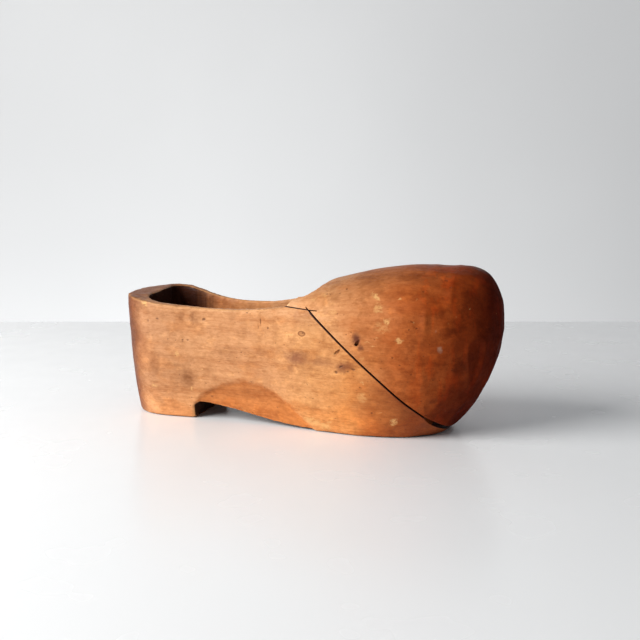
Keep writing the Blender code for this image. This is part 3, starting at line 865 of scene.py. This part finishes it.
# Dark patina with painted shade, deep in the heel of the hollow.
HEEL_PATINA_AND_SHADE = (0.1, 0.055, 0.03)
DEEP_FLOOR = (0.36, 0.27, 0.2)
# A darker, more orange stain with painted shade, for the scooped flank.
SCOOP_STAIN_AND_SHADE = (0.8, 0.57, 0.34)
KNOT_RING = (0.34, 0.24, 0.18)
# Painted light bounced up from the table, for the lowest part.
FOOT_BOUNCE_LIGHT = (1.26, 1.24, 1.16)
# Painted shade for the forward-facing faces of the toe.
TOE_FRONT_SHADE = (0.62, 0.34, 0.22)
TOE_LOW = (0.62, 0.46, 0.36)
# Painted glints for the whittled facets of the toe.
TOE_GLINT = (1.34, 1.08, 0.84)

RELIEF_DEPTH, RUST_DEPTH = 0.5, 0.25
BODY_ROUGHNESS, BODY_SPECULAR = 0.4, 0.18
CAP_ROUGHNESS, CAP_SPECULAR = 0.38, 0.07
TABLE_SPECULAR, WALL_ROUGHNESS = 0.24, 0.9

# Studio. The camera looks down a little from the lateral side, toward the toe end.
CAMERA_PLACE = Vector((0.2513, -0.7352, 0.208))
CAMERA_TARGET = Vector((-0.0029, 0.0346, 0.0687))
CAMERA_LENS, CAMERA_SENSOR = 59.06, 36
LIGHT_TARGET = Vector((0, 0, 0.05))
TABLE_LEVEL = -0.2 * MM
TABLE_NEAR, TABLE_EDGE, STUDIO_HALF_WIDTH = 2.0, 1.2, 3.0
WALL_DISTANCE, WALL_HEIGHT, WALL_LIT_HEIGHT = 2.2, 2.5, 0.4
KEY_PLACE, KEY_SIZE, KEY_POWER = Vector((-0.95, -0.85, 0.72)), 1.1, 31
KEY_COLOUR = (1.0, 0.985, 0.96)
WALL_LIGHT_PLACE, WALL_LIGHT_SIZE, WALL_LIGHT_POWER = Vector((-0.6, 0.75, -1.0)), 1.6, 17.5
WORLD_COLOUR, WORLD_STRENGTH = (0.95, 0.97, 1.0), 0.24
TABLE_SHADES = (0.89, 0.905, 0.92), (0.91, 0.925, 0.94)
WALL_SHADES = (0.8, 0.81, 0.82), (0.84, 0.85, 0.86)


class Wood(Graph):
    """Old handled wood. Its colour is laid on in layers, and each layer is one short method."""

    def __init__(self, name, palette):
        super().__init__(name)
        self.station = self.math("ADD", self.x, LENGTH / MM / 2)
        self.ahead, _, self.up = self.split(self.node("NewGeometry", {}).outputs["Normal"])
        self.edge = self.attribute("edge")
        # The rim's flat top belongs to the outside.
        rim = self.times(self.step(self.up, 0.45, 0.75), self.step(self.z, 70, 76))
        self.inner = self.times(self.attribute("inner"), self.minus(1, rim))
        self.outside = self.minus(1, self.inner)
        wander = self.noise((0.02, 0.03, 0.03), 3, 0.6)
        along = self.total(self.times(self.station, MM / LENGTH), self.times(wander, 0.16), -0.08)
        self.colour = self.ramp(along, *palette)

    def shade(self, shade, *factors):
        """Multiplies the colour by a shade, as far as the product of the factors goes."""
        self.colour = self.blend(self.times(*factors), self.colour, shade, "MULTIPLY")

    def paint(self, colour, *factors):
        """Covers the colour with another, as far as the product of the factors goes."""
        self.colour = self.blend(self.times(*factors), self.colour, colour)

    def patches(self, stretch, low, high, offset, detail=3):
        """1 in scattered patches of noise, and 0 between them."""
        return self.step(self.noise(stretch, detail, 0.6, None, offset), low, high)

    def lay_grain(self, strength):
        """Bands, fibres and fine hairs that run along the clog, and dark pores."""
        place = self.warped(4, (0.008, 0.02, 0.02))
        bands = self.noise((0.006, 0.13, 0.13), 3, 0.55, place)
        self.fibres = self.noise((0.03, 0.8, 0.8), 3, 0.6, place, (3, 7, 1))
        self.hairs = self.noise((0.1, 2.6, 2.6), 2, 0.6, place, (1, 2, 9))
        grain = self.weighted(0, (bands, 0.52), (self.fibres, 0.3), (self.hairs, 0.18))
        self.shade(self.ramp(grain, *GRAIN), strength)
        self.pores = self.step(self.noise((0.2, 2.4, 2.4), 1, 0.5, place, (5, 5, 5)), 0.66, 0.74)
        self.shade(PORE, self.pores, 0.35)

    def lay_stains(self, strength):
        """Broad patches: warm where the wood is oiled, brown where it was handled, and finer mottling."""
        self.shade(OILED, self.patches((0.025, 0.04, 0.04), 0.48, 0.62, (11, 3, 5)), 0.6)
        self.handled = self.patches((0.05, 0.06, 0.06), 0.5, 0.66, (2, 17, 8))
        self.shade(HANDLED, self.handled, 0.5 * strength)
        self.shade(BLOTCHED, self.patches((0.09, 0.1, 0.1), 0.5, 0.62, (7, 2, 3), 4), 0.5 * strength)
        self.mottle = self.patches((0.24, 0.42, 0.42), 0.4, 0.64, (9, 1, 14), 4)
        self.shade(MOTTLED, self.mottle, 0.55)
        self.shade(RUBBED, self.patches((0.1, 0.13, 0.13), 0.54, 0.68, (1, 9, 4), 4), 0.9 * strength)

    def lay_marks(self, smoke, bruises, chips, specks):
        """Marks placed one by one on the lateral side, and small chips and pits scattered all over."""
        self.shade(SMOKED, self.marks(smoke, 0.9, 3))
        self.shade(BRUISED, self.marks(bruises, 0.9, 3))
        ragged = self.step(self.noise((0.4, 0.6, 0.6), 4, 0.7, None, (3, 3, 8)), 0.38, 0.5)
        clusters = self.patches((0.03, 0.03, 0.03), 0.48, 0.62, (4, 8, 6), 2)
        flecks = self.patches((0.26, 0.4, 0.4), 0.69, 0.75, (6, 6, 2), 3)
        flecks = self.times(flecks, clusters, self.outside, 0.35)
        chipped = self.times(self.marks(chips, 0.7, 2.6), ragged)
        self.chipped = self.math("MAXIMUM", chipped, flecks)
        self.paint(FRESH_CUT_AND_HIGHLIGHT, self.chipped, 0.72)
        pits = self.patches((0.35, 0.45, 0.45), 0.73, 0.79, (8, 3, 3), 1)
        pits = self.times(pits, self.outside, 0.7)
        self.pitted = self.math("MAXIMUM", self.marks(specks, 0.6, 0.6), pits)
        self.paint(SPECK, self.pitted, 0.62)

    def lay_wear_and_shade(self):
        """Edges rubbed pale with a painted highlight, darker creases, a painted sheen on tops, dirt and
        painted shade underneath, painted shade on the breast and the heel's back, and a hollow darkened by
        patina and painted shade.
        """
        # Convex edges are painted pale: rubbed wear, with a painted highlight where the rims catch the
        # light.
        self.paint(FRESH_CUT_AND_HIGHLIGHT, self.step(self.edge, 0.035, 0.12), self.outside, 0.35)
        # Darker in concave creases.
        self.shade(CREASE_DARKENING, self.step(self.edge, -0.03, -0.12), 0.7)
        # Upward faces near the heel and the throat get the painted grey sheen.
        heel_end = self.step(self.station, 90, 50, 0, 0.75)
        ends = self.math("MAXIMUM", heel_end, self.step(self.station, 125, 165))
        self.shade(TOP_SHEEN, self.step(self.up, 0.5, 0.96), self.step(self.z, 55, 70), ends, 0.85)
        # Downward faces are darkened: dirt and painted shade.
        under = self.step(self.up, -0.8, -0.97)
        self.shade(UNDERSIDE_DIRT_AND_SHADE, under)
        # Painted shade on the back face of the heel.
        back = self.step(self.ahead, -0.3, -0.85)
        self.shade(HEEL_BACK_SHADE, back, self.step(self.station, 30, 20), self.outside)
        # Painted shade, near black, on the heel's breast under the arch.
        breast = self.times(self.step(self.ahead, 0.75, 0.95), self.step(self.station, 80, 74))
        self.shade(BREAST_SHADE, breast, self.outside)
        self.dull = self.math("MAXIMUM", under, breast)
        bands = self.noise((0.22, 0.1, 0.02), 3, 0.6, None, (4, 4, 4))
        depth = self.total(self.station, self.times(bands, 24), -12)
        self.shade(INSIDE, self.inner, self.step(depth, 86, 62))
        # Toward the heel of the hollow: dark patina with painted shade.
        self.shade(HEEL_PATINA_AND_SHADE, self.inner, self.step(depth, 66, 34))
        self.shade(DEEP_FLOOR, self.inner, self.step(self.z, 66, 34), 0.8)

    def lay_cut_grime_and_shade(self):
        """Black in both saw cuts and in the gap they open into under the toe: grime, with painted shade of
        the narrow gap.
        """
        past = self.minus(self.station, CUT_CORNER / MM)
        rise = self.minus(self.z, CUT_HEIGHT / MM)
        slope = self.total(self.times(past, math.sin(CUT_SLOPE)), self.times(rise, math.cos(CUT_SLOPE)))
        level = self.total(self.times(past, math.tan(CUT_CLIMB)), rise)
        away = self.math("MAXIMUM", slope, level)
        sloping = self.step(past, -2, 1)
        gap = self.step(self.station, TOE_GAP_START / MM, TOE_GAP_FULL / MM, KERF / MM, TOE_GAP / MM)
        bottom = self.times(sloping, gap, -1)
        top = self.times(self.minus(1, sloping), LIP_GAP / MM)
        above = self.step(self.minus(away, bottom), -0.35, -0.05)
        below = self.step(self.minus(away, top), 0.35, 0.05)
        # The cut faces are painted black: grime, with painted shade of the gap.
        self.paint(CUT_GRIME_AND_SHADE, above, below, self.step(self.station, 134, 138))

    def finish(self, roughness, specular):
        """Links everything to the shader. Relief and roughness follow the same marks as the colour."""
        raised = (self.fibres, 0.35), (self.hairs, 0.25), (self.mottle, 0.1)
        sunk = (self.pores, -0.15), (self.chipped, -0.25), (self.pitted, -0.6)
        rougher = (self.mottle, 0.08), (self.chipped, 0.15), (self.hairs, 0.1), (self.dull, 0.45)
        return self.surface(
            Base_Color=self.colour,
            Roughness=self.weighted(roughness, *rougher, (self.handled, -0.06)),
            Normal=self.bump(self.weighted(0.6, *raised, *sunk), RELIEF_DEPTH),
            Specular_IOR_Level=specular,
        )


def body_wood():
    """Pale wood with a stained scoop in painted shade, a knot, and a foot painted paler by light bounced
    from the table.
    """
    wood = Wood("old_pale_wood", BODY_PALETTE)
    wood.lay_grain(1)
    wood.lay_stains(0.7)
    # The scooped flank above the arch is darker and more orange: a stain, with painted shade of the
    # undercut.
    away = wood.minus(wood.station, SCOOP_MIDDLE / MM)
    drop = wood.times(away, away, -SCOOP_BEND * MM)
    wobble = wood.times(wood.noise((0.11, 0.11, 0.11), 4, 0.65), 9)
    above = wood.minus(wood.z, wood.total(drop, wobble, SCOOP_TOP / MM - 4.5))
    scooped = wood.step(above, 2, -3)
    wood.shade(SCOOP_STAIN_AND_SHADE, scooped, wood.step(wood.station, 64, 68), wood.outside, 0.9)
    disc = wood.spot(*KNOT, 0.35)
    heart = wood.spot(*KNOT_HEART, 0.5)
    wood.shade(KNOT_RING, wood.minus(disc, wood.times(heart, 0.55)))
    # The lowest part is painted paler: painted light bounced up from the table.
    wood.shade(FOOT_BOUNCE_LIGHT, wood.step(wood.z, 30, 8), wood.outside)
    wood.lay_marks(BODY_SMOKE, BODY_BRUISES, BODY_CHIPS, BODY_SPECKS)
    wood.lay_wear_and_shade()
    wood.lay_cut_grime_and_shade()
    return wood.finish(BODY_ROUGHNESS, BODY_SPECULAR)


def cap_wood():
    """Darker, browner wood with ash and iron stains, painted shade on the front of the toe, and painted
    glints on its facets.
    """
    wood = Wood("old_toe_wood", CAP_PALETTE)
    wood.lay_grain(0.6)
    wood.lay_stains(1)
    # Painted shade makes the faces of the toe that turn forward the darkest, and it darkens again toward
    # the ground.
    front = wood.step(wood.ahead, 0.3, 0.85)
    wood.shade(TOE_FRONT_SHADE, front, 0.85)
    wood.shade(TOE_LOW, wood.step(wood.z, 46, 16), wood.step(wood.station, 228, 262))
    # Painted glints: pale streaks on the whittled facets of the toe.
    glints = wood.patches((0.1, 0.1, 0.02), 0.5, 0.62, (6, 1, 1))
    wood.shade(TOE_GLINT, glints, wood.step(wood.station, 220, 250), 0.8)
    wood.lay_marks(CAP_SMOKE, [], CAP_CHIPS, CAP_SPECKS)
    wood.paint(ASH, wood.marks(CAP_ASHES, 0.9, 2.4), 0.45)
    wood.paint(IRON_STAIN, wood.marks(IRON_STAINS, 0.9, 1.8), 0.85)
    wood.lay_wear_and_shade()
    wood.dull = wood.math("MAXIMUM", wood.dull, wood.times(front, 0.85))
    wood.lay_cut_grime_and_shade()
    return wood.finish(CAP_ROUGHNESS, CAP_SPECULAR)


def rusty_iron():
    """Brown rust with bare grey metal showing in places."""
    g = Graph("rusty_iron")
    scale = g.noise((0.9, 0.9, 0.9), 4, 0.65)
    grit = g.noise((4, 4, 4), 3, 0.6)
    return g.surface(
        Base_Color=g.blend(g.times(grit, 0.4), g.ramp(scale, *RUST), RUST_GRIT),
        Metallic=g.step(scale, 0.45, 0.65, 0.75, 0.15),
        Roughness=g.step(grit, 0.3, 0.7, 0.55, 0.85),
        Normal=g.bump(g.weighted(0, (scale, 0.6), (grit, 0.4)), RUST_DEPTH),
    )


def hazy(g, shades, stretch):
    """A colour that drifts between two shades."""
    return g.ramp(g.noise((stretch,) * 3), (0.3, shades[0]), (0.7, shades[1]))


def table_top():
    g = Graph("white_lacquer_table")
    return g.surface(
        Base_Color=hazy(g, TABLE_SHADES, 0.004),
        Roughness=g.step(g.noise((0.02, 0.02, 0.02)), 0.3, 0.7, 0.22, 0.28),
        Specular_IOR_Level=TABLE_SPECULAR,
    )


def studio_wall():
    g = Graph("matt_wall")
    return g.surface(Base_Color=hazy(g, WALL_SHADES, 0.002), Roughness=WALL_ROUGHNESS)


# Studio


def aimed(name, data, place, target):
    """A camera or a light at a place, turned toward a target."""
    obj = bpy.data.objects.new(name, data)
    obj.location = place
    obj.rotation_euler = (target - place).to_track_quat("-Z", "Y").to_euler()
    bpy.context.scene.collection.objects.link(obj)
    return obj


def camera():
    data = bpy.data.cameras.new("camera")
    data.lens = CAMERA_LENS
    data.sensor_width = CAMERA_SENSOR
    bpy.context.scene.camera = aimed("camera", data, CAMERA_PLACE, CAMERA_TARGET)


def softbox(name, place, size, power, colour=(1, 1, 1), target=LIGHT_TARGET):
    data = bpy.data.lights.new(name, "AREA")
    data.shape = "DISK"
    data.size = size
    data.energy = power
    data.color = colour
    aimed(name, data, place, target)


def studio():
    """A white table that ends behind the clog, a pale wall beyond it, and soft daylight from the left."""
    forward = (CAMERA_TARGET - CAMERA_PLACE) * Vector((1, 1, 0))
    forward.normalize()
    sideways = Vector((-forward.y, forward.x, 0))
    eye = Vector((CAMERA_PLACE.x, CAMERA_PLACE.y, 0))

    def spread(name, near, far, low, high, material):
        corners = []
        for distance, height, side in ((near, low, -1), (near, low, 1), (far, high, 1), (far, high, -1)):
            across = sideways * side * STUDIO_HALF_WIDTH
            corners.append(eye + forward * distance + across + Vector((0, 0, height)))
        obj = new_object(name, corners, [(0, 1, 2, 3)])
        obj.data.materials.append(material)

    spread("table", -TABLE_NEAR, TABLE_EDGE, TABLE_LEVEL, TABLE_LEVEL, table_top())
    spread("wall", WALL_DISTANCE, WALL_DISTANCE, -WALL_HEIGHT, WALL_HEIGHT, studio_wall())

    softbox("window", KEY_PLACE, KEY_SIZE, KEY_POWER, KEY_COLOUR)
    wall_centre = eye + forward * WALL_DISTANCE + Vector((0, 0, WALL_LIT_HEIGHT))
    softbox("wall_light", WALL_LIGHT_PLACE, WALL_LIGHT_SIZE, WALL_LIGHT_POWER, target=wall_centre)
    world = bpy.data.worlds.new("daylight")
    world.use_nodes = True
    background = world.node_tree.nodes["Background"]
    background.inputs["Color"].default_value = (*WORLD_COLOUR, 1)
    background.inputs["Strength"].default_value = WORLD_STRENGTH
    bpy.context.scene.world = world
    bpy.context.scene.view_settings.view_transform = "Standard"


def stand_for(obj, node, material):
    """Gives a piece its material and smooth shading, fixes it to the root, and hides the CAD node it stands
    for.
    """
    obj.data.materials.clear()
    obj.data.materials.append(material)
    obj.data.shade_smooth()
    obj.data.set_sharp_from_angle(angle=SHARP_ANGLE)
    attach(obj, "root")
    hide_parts(node)


def build():
    """The nails, the two wooden pieces with holes for them, and the studio round them."""
    body, cap = sawn_pieces(carved_clog())
    iron = rusty_iron()
    for seed, (word, start, direction, length, sunk) in enumerate(nail_places()):
        along = direction.to_track_quat("Z", "Y").to_matrix().to_4x4()
        placement = Matrix.Translation(start + direction * sunk) @ along
        nail = forged_nail(f"forged_nail_{word}", length, placement, seed)
        stand_for(nail, f"nail_{word}", iron)
        for piece in (body, cap):
            boolean(piece, nail_hole(f"hole_{word}", length, placement), "DIFFERENCE")
    for piece in (body, cap):
        store(piece.data, "inner", hollow_share(read(piece.data.vertices, "co", 3)))
    stand_for(body, "lower_body", body_wood())
    stand_for(cap, "upper_toe", cap_wood())
    camera()
    studio()


build()
